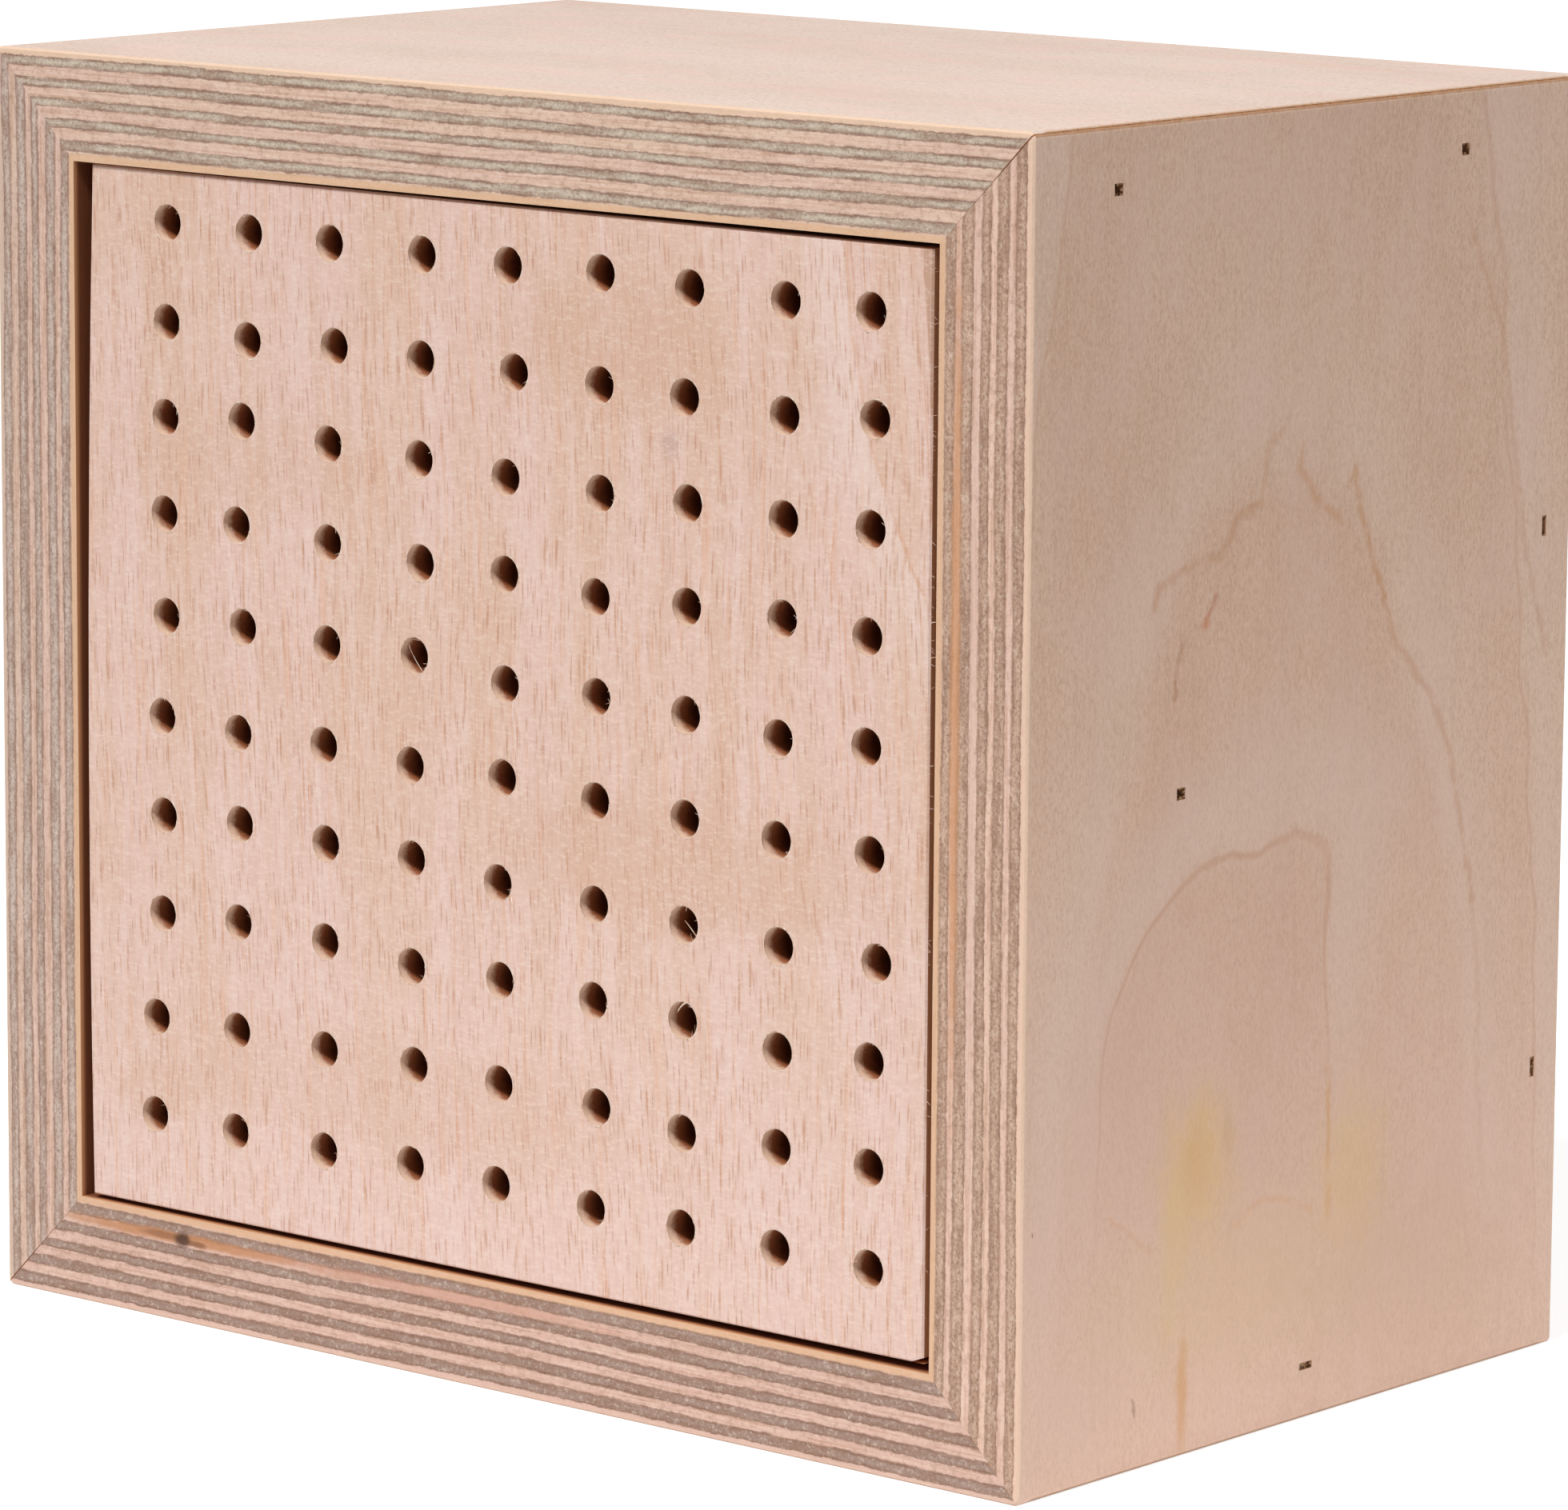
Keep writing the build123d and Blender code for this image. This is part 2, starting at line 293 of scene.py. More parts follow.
# long soft fibres in the pale plies, which are peach in places and pink in others
streaks = streaky(plies, shifted, (0.07, 0.5, 2.6), 4.0, 0.65)
drift = streaky(plies, shifted, (0.020, 0.05, 0.35), 2.0, 0.5)
pinkness = fade(plies, plus(plies, drift, times(plies, log_shade, 0.6)), 0.55, 1.0)
pale = wash(plies, given["Pale"], pinkness, 0.6, paint(226, 190, 176))
pale = wash(plies, pale, fade(plies, streaks, 0.46, 0.66), 0.65, paint(196, 154, 128))
pale = wash(plies, pale, fade(plies, streaks, 0.44, 0.30), 0.50, paint(240, 218, 198))
# the grey ones show end grain: pores and pale cell walls, browner along the glue
pores = streaky(plies, shifted, (2.2, 1.2, 2.6), 3.0, 0.75)
smudges = streaky(plies, shifted, (0.10, 0.3, 0.9), 3.0, 0.65)
browner = lay_over(plies, 0.60, given["Grey"], paint(148, 112, 92))
grey = lay_over(plies, fade(plies, smudges, 0.40, 0.66), given["Grey"], browner)
grey = wash(plies, grey, fade(plies, to_glue, 0.60, 0.10), 0.45, paint(150, 114, 94))
grey = wash(plies, grey, fade(plies, pores, 0.50, 0.66), given["Dots"], paint(118, 90, 72))
grey = wash(plies, grey, fade(plies, pores, 0.45, 0.28), 0.65, paint(222, 208, 196))
layered = lay_over(plies, is_pale, grey, pale)
# dirt and loose fibres dull all of it in patches
dull = streaky(plies, shifted, (0.9, 0.6, 1.1), 3.0, 0.8)
layered = wash(plies, layered, fade(plies, dull, 0.48, 0.68), 0.38, paint(160, 124, 104))
layered = wash(plies, layered, fade(plies, dull, 0.46, 0.28), 0.40, paint(238, 218, 200))
layered = wash(plies, layered, glue, given["Glue"], paint(126, 90, 72))
# the innermost veneer has kept its warm face, and the outermost is rubbed
innermost = fade(plies, plus(plies, parts[2], times(plies, sway, 0.3)), BOARD_THICK - 1.1, BOARD_THICK - 0.75)
layered = wash(plies, layered, innermost, 0.75, paint(226, 184, 146))
layered = wash(plies, layered, fade(plies, depth, 0.05, -0.15), 0.75, given["Outer"])
plug(plies, layered, result["Color"])
plug(plies, pores, result["Height"])
print("group:", plies.name, "with", 1 + 2 * math.floor((BOARD_THICK - FIRST_VENEER) / PLY_PITCH + 0.9), "plies")

# %% [markdown]
# **Veneer.** The outer sheet is peeled from the log like paper from a roll, so its figure is wide and wild: pale
# flames with a thin brown outline where the knife passed from one year's ring to the next. Here such a flame is
# an ellipse whose outline is bent by noise. The group gives the outline and the pale band outside it.

# %% The flame group
flame, given, result = new_group(
    "veneer flame",
    [
        ("Place", "Vector"),
        ("Bent", "Float"),
        ("Middle", "Vector"),
        ("Half Size", "Vector"),
        ("Squareness", "Float"),
        ("Wobble", "Float"),
    ],
    [("Line", "Float"), ("Band", "Float"), ("Inside", "Float")],
)
from_middle = vectors(flame, "SUBTRACT", given["Place"], given["Middle"])
shares = vectors(flame, "DIVIDE", from_middle, given["Half Size"])
parts = add_node(flame, "SeparateXYZ", shares).outputs
powers = [sums(flame, "POWER", sums(flame, "ABSOLUTE", part), given["Squareness"]) for part in (parts[0], parts[2])]
radius = sums(flame, "POWER", sums(flame, "ADD", *powers), sums(flame, "DIVIDE", 1.0, given["Squareness"]))
narrow = add_node(flame, "SeparateXYZ", given["Half Size"]).outputs[0]
outside = times(flame, minus(flame, radius, 1.0), narrow)
outside = plus(flame, outside, times(flame, minus(flame, given["Bent"], 0.5), given["Wobble"]))
faint = fade(flame, sums(flame, "FRACT", times(flame, given["Bent"], 3.0)), 0.05, 0.45, 0.35, 1.0)
plug(flame, times(flame, fade(flame, sums(flame, "ABSOLUTE", outside), 0.55, 0.05), faint), result["Line"])
plug(flame, times(flame, fade(flame, outside, -2.0, 2.5), fade(flame, outside, 14.0, 2.5)), result["Band"])
plug(flame, fade(flame, outside, 1.6, -2.4), result["Inside"])


def flame_noise(tree, place):
    """The noise that bends the flames of one board. They share it, which saves time."""
    return streaky(tree, place, (0.045, 0.045, 0.028), 3.0, 0.5)


print("group:", flame.name)

# %% [markdown]
# **Strokes.** A stain that has run, or a brown thread in the figure, is a bent line. It is drawn as a few straight
# pieces, each with its distance from the point being painted, and a little noise takes the stiffness out.

# %% The stroke group
stroke_group, given, result = new_group(
    "stroke", [("Place", "Vector"), ("Start", "Vector"), ("End", "Vector")], [("Distance", "Float")]
)
reach = vectors(stroke_group, "SUBTRACT", given["Place"], given["Start"])
whole = vectors(stroke_group, "SUBTRACT", given["End"], given["Start"])
along = add_node(stroke_group, "VectorMath", reach, whole, operation="DOT_PRODUCT").outputs["Value"]
square = add_node(stroke_group, "VectorMath", whole, whole, operation="DOT_PRODUCT").outputs["Value"]
share = add_node(stroke_group, "Math", along, square, operation="DIVIDE", use_clamp=True).outputs[0]
nearest = add_node(stroke_group, "VectorMath", whole, operation="SCALE")
plug(stroke_group, share, nearest.inputs["Scale"])
missed = vectors(stroke_group, "SUBTRACT", reach, nearest.outputs[0])
distance = add_node(stroke_group, "VectorMath", missed, operation="LENGTH").outputs["Value"]
plug(stroke_group, distance, result["Distance"])
print("group:", stroke_group.name)

# %% [markdown]
# **A board's finish.** All the boards are one plywood, so one function dresses them. It needs to know which way
# the board lies: how deep a point is in it, and where along and across it. Where a face looks forward or
# backward it is a sawn edge and shows the plies. All other faces are veneer.

# %% Plywood for any board
def place_on_object(tree):
    """The point being painted, in millimetres, and its three parts."""
    where = add_node(tree, "TexCoord").outputs["Object"]
    scaled = add_node(tree, "VectorMath", where, operation="SCALE")
    scaled.inputs["Scale"].default_value = 1 / MM
    return scaled.outputs[0], add_node(tree, "SeparateXYZ", scaled.outputs[0]).outputs


def facing(tree, axis):
    """How squarely a face looks along an axis, either way."""
    normal = add_node(tree, "NewGeometry").outputs["Normal"]
    return sums(tree, "ABSOLUTE", add_node(tree, "SeparateXYZ", normal).outputs[axis])


def blotch(tree, place, edge, middle, half_size, soft, ragged):
    """A stain: 1 in its middle, fading out raggedly. edge is noise that all stains of a finish share, which saves
    time. Sizes in millimetres, as across, 0, along."""
    shares = vectors(tree, "DIVIDE", vectors(tree, "SUBTRACT", place, middle), half_size)
    reach = add_node(tree, "VectorMath", shares, operation="LENGTH").outputs["Value"]
    bent = times(tree, minus(tree, edge, 0.5), ragged)
    return fade(tree, plus(tree, reach, bent), 1.0 + soft, 1.0 - soft)


def jitter(tree, place, amount):
    """Shifts a place about by noise, so that what is drawn there wavers."""
    shift = add_node(tree, "TexNoise")
    for name, value in (("Vector", place), ("Scale", 0.35), ("Detail", 3.0), ("Roughness", 0.6)):
        plug(tree, value, shift.inputs[name])
    centred = vectors(tree, "SUBTRACT", shift.outputs["Color"], (0.5, 0.5, 0.5))
    moved = vectors(tree, "MULTIPLY", centred, (amount, 0.0, amount))
    return vectors(tree, "ADD", place, moved)


def stroke(tree, place, points, width):
    """1 on a bent line through the points, which are given as across and up, and 0 beside it."""
    away = None
    for (x0, z0), (x1, z1) in zip(points, points[1:]):
        step = use_group(tree, stroke_group, Place=place, Start=(x0, 0, z0), End=(x1, 0, z1))["Distance"]
        away = step if away is None else sums(tree, "MINIMUM", away, step)
    return fade(tree, away, width, 0.0)


def new_material(name):
    material = bpy.data.materials.new(name)
    material.use_nodes = True
    tree = material.node_tree
    tree.nodes.clear()
    shader = tree.nodes.new("ShaderNodeBsdfPrincipled")
    output = tree.nodes.new("ShaderNodeOutputMaterial")
    tree.links.new(shader.outputs[0], output.inputs[0])
    return material, tree, shader


def set_bump(tree, shader, height, depth_mm):
    bump = add_node(tree, "Bump")
    plug(tree, height, bump.inputs["Height"])
    bump.inputs["Strength"].default_value = 1.0
    bump.inputs["Distance"].default_value = depth_mm * MM
    tree.links.new(bump.outputs[0], shader.inputs["Normal"])


def plywood(
    name,
    board_number,
    depth_along_length,
    edge,
    decorate,
    edge_marks=(),
    break_at=None,
    shades=((224, 196, 176), (213, 182, 160)),
):
    """depth_along_length picks, from x, y and z, the depth into the board and the place along it.
    edge holds the grey plies' width and colour, how dotted they are, how strong the glue is, the pale plies, and
    the outer veneer. decorate adds the marks that only this board has."""
    material, tree, shader = new_material(name)
    place, (x, y, z) = place_on_object(tree)
    depth, length = depth_along_length(tree, x, y, z)
    grey_width, grey, dots, glue, pale, outer = edge
    layers = use_group(
        tree, plies, Place=point(tree, length, y, depth), Board=board_number * 61.7,
        Grey_Width=grey_width, Grey=paint(*grey), Dots=dots, Glue=glue, Pale=paint(*pale), Outer=paint(*outer),
    )

    # the face: grain runs along the board
    face = point(tree, y, board_number * 37.0, length)
    wood = use_group(tree, grain, Place=face, Fineness=1.0)
    color = lay_over(tree, fade(tree, wood["Clouds"], 0.30, 0.72), *(paint(*shade) for shade in shades))
    mottle = streaky(tree, face, (2.8, 2.8, 1.3), 3.0, 0.75)
    color = wash(tree, color, fade(tree, mottle, 0.48, 0.66), 0.52, paint(194, 156, 134))
    color = wash(tree, color, fade(tree, mottle, 0.47, 0.32), 0.46, paint(246, 224, 208))
    color = wash(tree, color, fade(tree, wood["Fibres"], 0.50, 0.70), 0.24, paint(192, 154, 130))
    patches = streaky(tree, face, (0.10, 0.1, 0.05), 3.0, 0.6)
    color = wash(tree, color, fade(tree, patches, 0.46, 0.62), 0.30, paint(236, 200, 186))
    color = decorate(tree, color, y, z, face)

    # the inner faces have kept the warm brown that sanding took off the outer ones, with painted shade on them
    inner_face = fade(tree, depth, BOARD_THICK - 0.8, BOARD_THICK - 0.2)
    # painted shade: the inner faces darken from 0.2 to 1.1 mm behind the front, deeper into the gaps
    shaded = fade(tree, plus(tree, y, half_deep), 0.2, 1.1)
    color = lay_over(tree, inner_face, color, lay_over(tree, shaded, paint(200, 142, 100), paint(120, 70, 44)))
    # where the veneer is torn off, the next ply shows
    torn = times(tree, fade(tree, depth, 0.9, 1.2), fade(tree, depth, 6.0, 5.0))
    color = lay_over(tree, torn, color, paint(186, 132, 92))
    if break_at:
        chip = blotch(tree, point(tree, y, 0.0, z), speckle(tree, place, 0.25, 2.0, 0.6), *break_at, 0.3, 0.6)
        fresh = times(tree, chip, fade(tree, depth, 0.5, 0.7))
        color = wash(tree, color, fresh, fade(tree, depth, 6.0, 5.0), paint(240, 234, 230))

    # walls of the pockets that the brads were driven through
    ends = sums(
        tree,
        "MINIMUM",
        fade(tree, y, 2.0 - half_deep, 3.0 - half_deep),
        fade(tree, y, half_deep - 2.0, half_deep - 3.0),
    )
    pocket = times(tree, times(tree, fade(tree, depth, 0.03, 0.25), fade(tree, depth, 3.0, 2.5)), ends)
    sawn = sums(tree, "GREATER_THAN", facing(tree, 1), 0.5)
    edge_color = layers["Color"]
    edge_spot = point(tree, length, 0.0, depth)
    stain_edge = speckle(tree, edge_spot, 0.25, 3.0, 0.6) if edge_marks else None
    for where, size, tint, amount in edge_marks:
        mark = blotch(tree, edge_spot, stain_edge, where, size, 0.45, 1.1)
        edge_color = wash(tree, edge_color, mark, times(tree, sums(tree, "LESS_THAN", y, 0.0), amount), tint)
    color = lay_over(tree, sawn, color, edge_color)
    color = lay_over(tree, pocket, color, lay_over(tree, wood["Fibres"], paint(204, 160, 122), paint(146, 98, 66)))
    rubbed = use_group(tree, worn, Place=place)["Mask"]
    color = wash(tree, color, rubbed, 0.35, paint(236, 211, 184))
    plug(tree, color, shader.inputs["Base Color"])
    fuzz = times(tree, wood["Fibres"], 0.8)
    height = add_node(tree, "Mix", data_type="FLOAT")
    for socket, value in ((height.inputs[0], sawn), (height.inputs[2], fuzz), (height.inputs[3], layers["Height"])):
        plug(tree, value, socket)
    set_bump(tree, shader, height.outputs[0], 0.10)
    plug(tree, fade(tree, wood["Fibres"], 0.2, 0.8, 0.62, 0.78), shader.inputs["Roughness"])
    shader.inputs["Specular IOR Level"].default_value = 0.25
    return material


print("plywood can be made")

# %% [markdown]
# **The side in view** has a history that the others lack: three nested flames, a broken brown line over the
# middle one, two short streaks of bark, and yellow stains of resin low down with a drip from the lower one. The
# figure is laid out in millimetres behind the front and above the base.

# %% The right side's own marks
def right_side_marks(tree, color, y, z, face):
    spot = point(tree, plus(tree, y, half_deep), 0.0, z)
    # painted light from the floor: the side is made pinker and paler towards its foot
    color = lay_over(tree, fade(tree, z, 125.0, 0.0, 0.0, 0.42), color, paint(248, 212, 197))
    above = sums(tree, "MAXIMUM", minus(tree, z, 50.0), 0.0)
    leant = point(tree, minus(tree, plus(tree, y, half_deep), times(tree, times(tree, above, above), 0.011)), 0.0, z)
    bent = flame_noise(tree, spot)
    inner = use_group(
        tree, flame, Place=leant, Bent=bent, Middle=(40, 0, 30), Half_Size=(25, 1, 49), Squareness=3.2, Wobble=7.0
    )
    middle = use_group(
        tree, flame, Place=spot, Bent=bent, Middle=(52, 0, 0), Half_Size=(47, 1, 128), Squareness=2.0, Wobble=12.0
    )
    outer = use_group(
        tree, flame, Place=spot, Bent=bent, Middle=(52, 0, 0), Half_Size=(61, 1, 250), Squareness=2.0, Wobble=10.0
    )
    for ring, band_amount, line_amount, foot in (
        (outer, 0.22, 0.25, 45.0), (middle, 0.20, 0.0, 45.0), (inner, 0.30, 0.40, 74.0)
    ):
        high_up = fade(tree, z, foot - 45.0, foot, 0.15, 1.0)
        color = wash(tree, color, times(tree, ring["Band"], band_amount), high_up, paint(238, 214, 200))
        color = wash(tree, color, times(tree, ring["Inside"], 0.12), high_up, paint(208, 166, 146))
        if line_amount:
            color = wash(tree, color, times(tree, ring["Line"], line_amount), high_up, paint(200, 146, 112))
    # brown threads: over the head of the middle flame, and down its right edge
    wavering = jitter(tree, spot, 2.2)
    patchy = fade(tree, speckle(tree, spot, 0.30, 3.0, 0.6), 0.30, 0.54, 0.25, 1.0)
    for points, width, tint, amount in (
        (
            ((25.4, 113), (26.8, 115.8), (34.3, 118.4), (39.4, 118.2), (43.3, 123.4), (48.1, 124.6)),
            1.12,
            paint(200, 142, 98),
            0.45,
        ),
        (((48.1, 124.6), (49.5, 132.0), (53.8, 135.0)), 1.00, paint(206, 152, 112), 0.31),
        (((57.0, 131), (56.3, 128.4), (60.3, 123.9), (65.3, 120.9)), 1.19, paint(206, 146, 98), 0.43),
        (((67.1, 125.1), (68.5, 126.8), (69.8, 121.9), (73.3, 113.6), (75.6, 109.3)), 1.12, paint(202, 142, 90), 0.51),
        (
            ((75.6, 109.3), (78.3, 102.5), (86.8, 94.6), (91.1, 86.5), (94.1, 76.0), (96.8, 66.0)),
            1.06,
            paint(202, 146, 108),
            0.39,
        ),
        (((96.8, 66.0), (98.6, 55), (99.1, 40), (100.9, 25)), 1.00, paint(206, 158, 128), 0.22),
        (
            ((93.7, 157.1), (101.6, 142.2), (105.3, 123.0), (107.7, 112.6), (113.3, 97.3)),
            1.00,
            paint(200, 150, 114),
            0.31,
        ),
        (((17.9, 34.6), (27.5, 28.5)), 0.75, paint(222, 164, 106), 0.30),
        (((44.5, 29.0), (50.0, 31.6), (55.0, 31.3), (61.7, 28.1)), 1.00, paint(222, 166, 112), 0.31),
        (((65.0, 47.0), (65.3, 34.0), (65.6, 26.9)), 0.94, paint(218, 158, 90), 0.47),
        (((38.8, 113.4), (37.5, 111.7), (36.8, 110.6)), 0.81, paint(190, 116, 84), 0.47),
        (((37.0, 111.0), (36.4, 109.8)), 1.19, paint(212, 124, 72), 0.51),
        (((32.0, 108.2), (30.6, 104.5), (30.0, 100.8)), 0.69, paint(172, 114, 74), 0.47),
        (((23.5, 9.9), (23.7, 7.4)), 0.55, paint(150, 104, 78), 0.50),
        (((2.2, 35.6), (2.3, 35.2)), 0.38, paint(110, 76, 56), 0.60),
    ):
        line = times(tree, stroke(tree, wavering, points, width), patchy)
        color = wash(tree, color, line, amount, tint)
    # resin, and what ran down from it, and last a browner patch low down near the back edge
    stain_edge = speckle(tree, spot, 0.25, 3.0, 0.6)
    for where, size, tint, amount in (
        ((36.5, 0, 38.5), (7.0, 1, 9.0), paint(234, 194, 134), 0.58),
        ((36.4, 0, 39.4), (2.6, 1, 4.6), paint(222, 170, 108), 0.24),
        ((31.5, 0, 28.0), (2.6, 1, 9.0), paint(234, 200, 150), 0.45),
        ((43.0, 0, 41.5), (1.2, 1, 3.4), paint(206, 170, 134), 0.30),
        ((70.8, 0, 32.5), (6.5, 1, 10.0), paint(234, 196, 142), 0.50),
        ((46.0, 0, 21.0), (24.0, 1, 10.0), paint(234, 200, 156), 0.35),
        ((33.9, 0, 7.6), (1.1, 1, 8.0), paint(220, 162, 98), 0.55),
        ((84.0, 0, 14.0), (26.0, 1, 14.0), paint(208, 172, 146), 0.30),
    ):
        mark = blotch(tree, spot, stain_edge, where, size, 0.70, 1.5)
        color = wash(tree, color, mark, amount, tint)
    # the mitre shows as a brown thread just under the top
    thread = times(
        tree,
        fade(tree, z, 2 * half_high - 0.85, 2 * half_high - 0.65),
        fade(tree, z, 2 * half_high - 0.1, 2 * half_high - 0.3),
    )
    return wash(tree, color, thread, 0.8, paint(170, 114, 70))


right_ply = plywood(
    "ply right",
    1,
    lambda tree, x, y, z: (minus(tree, half_wide, x), z),
    (1.70, (204, 170, 148), 0.62, 0.40, (233, 198, 178), (236, 200, 176)),
    right_side_marks,
    edge_marks=[
        ((105, 0, 11.85), (50, 1, 0.75), paint(206, 148, 104), 0.75),
        ((95, 0, 9.0), (60, 1, 0.5), paint(222, 188, 172), 0.5),
    ],
    break_at=((59.0, 0, 175.5), (2.6, 1, 3.4)),
    shades=((234, 200, 175), (227, 191, 165)),
)
print("right side:", len(right_ply.node_tree.nodes), "nodes")

# %% [markdown]
# The other boards come from the same sheet. The left one gets a flame of its own, so that it isn't blank when the
# box is turned round. On the top a few faint pink streaks run from side to side.

# %% The other boards
def left_side_marks(tree, color, y, z, face):
    spot = point(tree, y, 0.0, z)
    bent = flame_noise(tree, spot)
    for middle, size in (((12, 0, 190), (30, 1, 120)), ((6, 0, 200), (48, 1, 178))):
        ring = use_group(tree, flame, Place=spot, Bent=bent, Middle=middle, Half_Size=size, Squareness=2.2, Wobble=9.0)
        color = wash(tree, color, ring["Band"], 0.30, paint(232, 214, 196))
        color = wash(tree, color, ring["Line"], 0.40, paint(184, 140, 104))
    return color


def top_marks(tree, color, y, z, face):
    streak = streaky(tree, face, (0.12, 1.0, 0.012), 3.0, 0.5)
    return wash(tree, color, fade(tree, streak, 0.58, 0.72), 0.40, paint(224, 188, 172))


def bottom_marks(tree, color, y, z, face):
    """Scuffs on the face that the box stands on."""
    scuff = streaky(tree, face, (0.10, 1.0, 0.06), 4.0, 0.7)
    return wash(tree, color, fade(tree, scuff, 0.54, 0.68), 0.45, paint(176, 150, 134))


left_ply = plywood(
    "ply left",
    2,
    lambda tree, x, y, z: (plus(tree, half_wide, x), z),
    (1.55, (204, 184, 172), 0.50, 0.50, (218, 188, 170), (210, 184, 168)),
    left_side_marks,
    shades=((232, 200, 176), (220, 184, 160)),
)
top_ply = plywood(
    "ply top",
    3,
    lambda tree, x, y, z: (minus(tree, 2 * half_high, z), x),
    (1.26, (211, 197, 178), 0.45, 0.72, (228, 198, 176), (236, 202, 174)),
    top_marks,
    shades=((226, 206, 193), (219, 197, 183)),
)
bottom_ply = plywood(
    "ply bottom",
    4,
    lambda tree, x, y, z: (z, x),
    (1.36, (168, 144, 132), 0.40, 0.70, (222, 187, 172), (224, 188, 174)),
    bottom_marks,
    edge_marks=[
        ((-57, 0, 11.85), (23, 1, 0.75), paint(196, 138, 96), 0.85),
        ((-10, 0, 11.85), (30, 1, 0.75), paint(206, 156, 134), 0.60),
        ((-61.0, 0, 11.9), (4.2, 1, 0.45), paint(130, 84, 56), 0.60),
        ((-57.3, 0, 11.75), (1.5, 1, 1.0), paint(66, 44, 34), 0.90),
        ((-55.0, 0, 11.5), (2.2, 1, 0.4), paint(104, 66, 46), 0.60),
    ],
)
print("boards:", [m.name for m in (left_ply, top_ply, bottom_ply)])

# %% [markdown]
# The back board lies the other way: its faces look backward, and only its narrow rims are sawn edges, hidden in
# the joint. So it gets plain veneer all over, with upright grain.

# %% The back board
def back_veneer():
    material, tree, shader = new_material("ply back")
    place, (x, y, z) = place_on_object(tree)
    face = point(tree, x, 11.0, z)
    wood = use_group(tree, grain, Place=face, Fineness=1.0)
    color = lay_over(tree, fade(tree, wood["Clouds"], 0.30, 0.72), paint(224, 198, 178), paint(210, 180, 158))
    color = wash(tree, color, fade(tree, wood["Fibres"], 0.50, 0.68), 0.55, paint(190, 155, 130))
    bent = flame_noise(tree, place)
    for middle, size in (((-20, 0, 60), (22, 1, 70)), ((-16, 0, 60), (46, 1, 120))):
        ring = use_group(
            tree, flame, Place=place, Bent=bent, Middle=middle, Half_Size=size, Squareness=2.0, Wobble=10.0
        )
        color = wash(tree, color, ring["Band"], 0.30, paint(232, 214, 196))
        color = wash(tree, color, ring["Line"], 0.45, paint(182, 138, 102))
    plug(tree, color, shader.inputs["Base Color"])
    set_bump(tree, shader, wood["Fibres"], 0.08)
    shader.inputs["Roughness"].default_value = 0.72
    shader.inputs["Specular IOR Level"].default_value = 0.25
    return material


back_ply = back_veneer()
print("back board:", len(back_ply.node_tree.nodes), "nodes")

# %% [markdown]
# **Beech.** Pinkish, even, and full of short dark flecks: the rays of the wood, cut across by the saw. A fleck is
# the middle of a cell, in a texture of cells that are about ten times as tall as they are wide. Over the flecks lie
# upright bands from peach to pink, a pale tongue of younger wood near the right edge, brownish clouds where the
# planer pressed, and fine level scratches.

# %% The nest block's beech
NESTS_END = 72.0        # what faces sideways farther out than this is a side of the block, not a nest's wall


def flecks(tree, place, across, along, size, seed):
    """Short upright dashes, one to a cell that is stretched along the grain, some stronger than others."""
    cells = add_node(tree, "TexVoronoi", voronoi_dimensions="2D", feature="F1")
    parts = add_node(tree, "SeparateXYZ", place).outputs
    flat = point(tree, plus(tree, times(tree, parts[0], across), seed), times(tree, parts[2], along), 0.0)
    plug(tree, flat, cells.inputs["Vector"])
    cells.inputs["Scale"].default_value = 1.0
    strength = fade(tree, add_node(tree, "SeparateXYZ", cells.outputs["Color"]).outputs[0], 0.05, 1.0, 0.15, 1.0)
    return times(tree, fade(tree, cells.outputs["Distance"], size, 0.0), strength)


